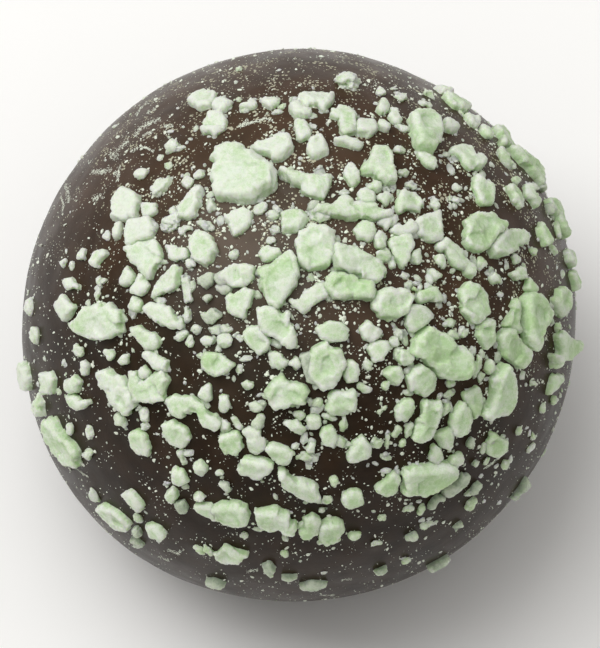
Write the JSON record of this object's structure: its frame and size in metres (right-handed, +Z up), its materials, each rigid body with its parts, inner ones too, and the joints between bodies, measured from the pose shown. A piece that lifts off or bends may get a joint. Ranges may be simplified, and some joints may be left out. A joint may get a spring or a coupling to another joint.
{
  "type": "chocolate truffle",
  "caption": "Round dark chocolate truffle on a small flat base, its coat strewn with crushed pale mint-green chips and fine dust.",
  "frame": {"origin": "centre of the flat underside, at the height of the surface it rests on", "axes": "+Z up from the flat underside to the crown; -Y towards the side seen from the front"},
  "size_m": [0.0305, 0.0301, 0.0292],
  "materials": {
    "dark_chocolate": "satin",
    "mint": "matte"
  },
  "bodies": {
    "root": {"truffle": "dark_chocolate", "mint_block_01": "mint", "mint_block_03": "mint", "mint_block_11": "mint", "mint_block_12": "mint", "mint_block_13": "mint", "mint_block_18": "mint", "mint_block_20": "mint", "mint_block_23": "mint", "mint_block_24": "mint", "mint_block_34": "mint", "mint_block_42": "mint", "mint_block_47": "mint", "mint_block_48": "mint", "mint_block_56": "mint", "mint_crag_05": "mint", "mint_crag_17": "mint", "mint_crag_21": "mint", "mint_crag_31": "mint", "mint_crag_32": "mint", "mint_crag_39": "mint", "mint_crag_40": "mint", "mint_crag_41": "mint", "mint_crag_50": "mint", "mint_crag_51": "mint", "mint_curl_02": "mint", "mint_curl_45": "mint", "mint_curl_53": "mint", "mint_curl_54": "mint", "mint_leaf_06": "mint", "mint_leaf_10": "mint", "mint_leaf_22": "mint", "mint_leaf_25": "mint", "mint_leaf_26": "mint", "mint_leaf_28": "mint", "mint_leaf_30": "mint", "mint_leaf_38": "mint", "mint_leaf_58": "mint", "mint_pebble_15": "mint", "mint_pebble_29": "mint", "mint_pebble_44": "mint", "mint_pebble_46": "mint", "mint_pebble_49": "mint", "mint_pebble_55": "mint", "mint_plate_07": "mint", "mint_plate_14": "mint", "mint_plate_19": "mint", "mint_plate_35": "mint", "mint_plate_36": "mint", "mint_plate_43": "mint", "mint_wedge_04": "mint", "mint_wedge_08": "mint", "mint_wedge_09": "mint", "mint_wedge_16": "mint", "mint_wedge_27": "mint", "mint_wedge_33": "mint", "mint_wedge_37": "mint", "mint_wedge_52": "mint", "mint_wedge_57": "mint"}
  },
  "joints": []
}
